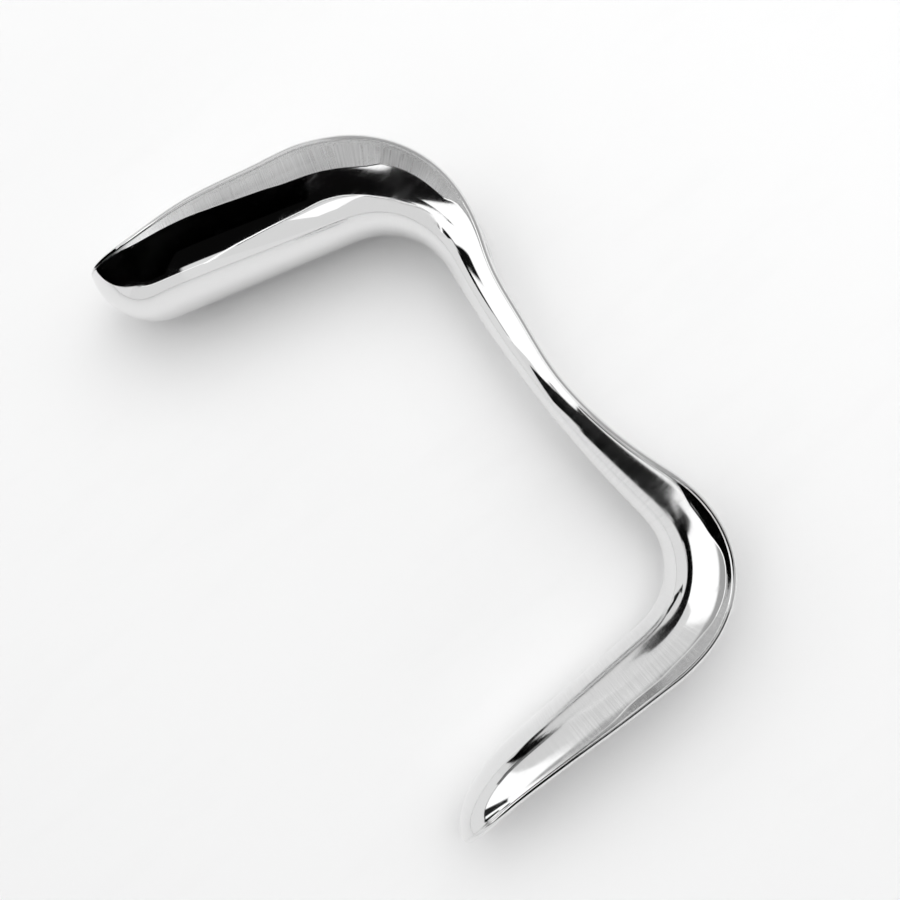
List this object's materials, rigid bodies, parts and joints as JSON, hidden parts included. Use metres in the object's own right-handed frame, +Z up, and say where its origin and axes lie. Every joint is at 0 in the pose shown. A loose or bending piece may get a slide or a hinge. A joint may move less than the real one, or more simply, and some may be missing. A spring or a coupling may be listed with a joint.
{
  "type": "vaginal retractor",
  "caption": "One-piece polished steel retractor: a large and a small spoon-ended channel blade on one side of a waisted channel handle.",
  "frame": {"origin": "centre of the bounding box's base, on the table that the part lies on", "axes": "+Z up from the table, +Y along the handle towards the large blade, blades pointing to -X"},
  "size_m": [0.1044, 0.1838, 0.0407],
  "materials": {
    "polished_steel": "polished stainless steel, satin beside the rim and at the heels"
  },
  "bodies": {
    "root": {"retractor_body": "polished_steel"}
  },
  "joints": []
}
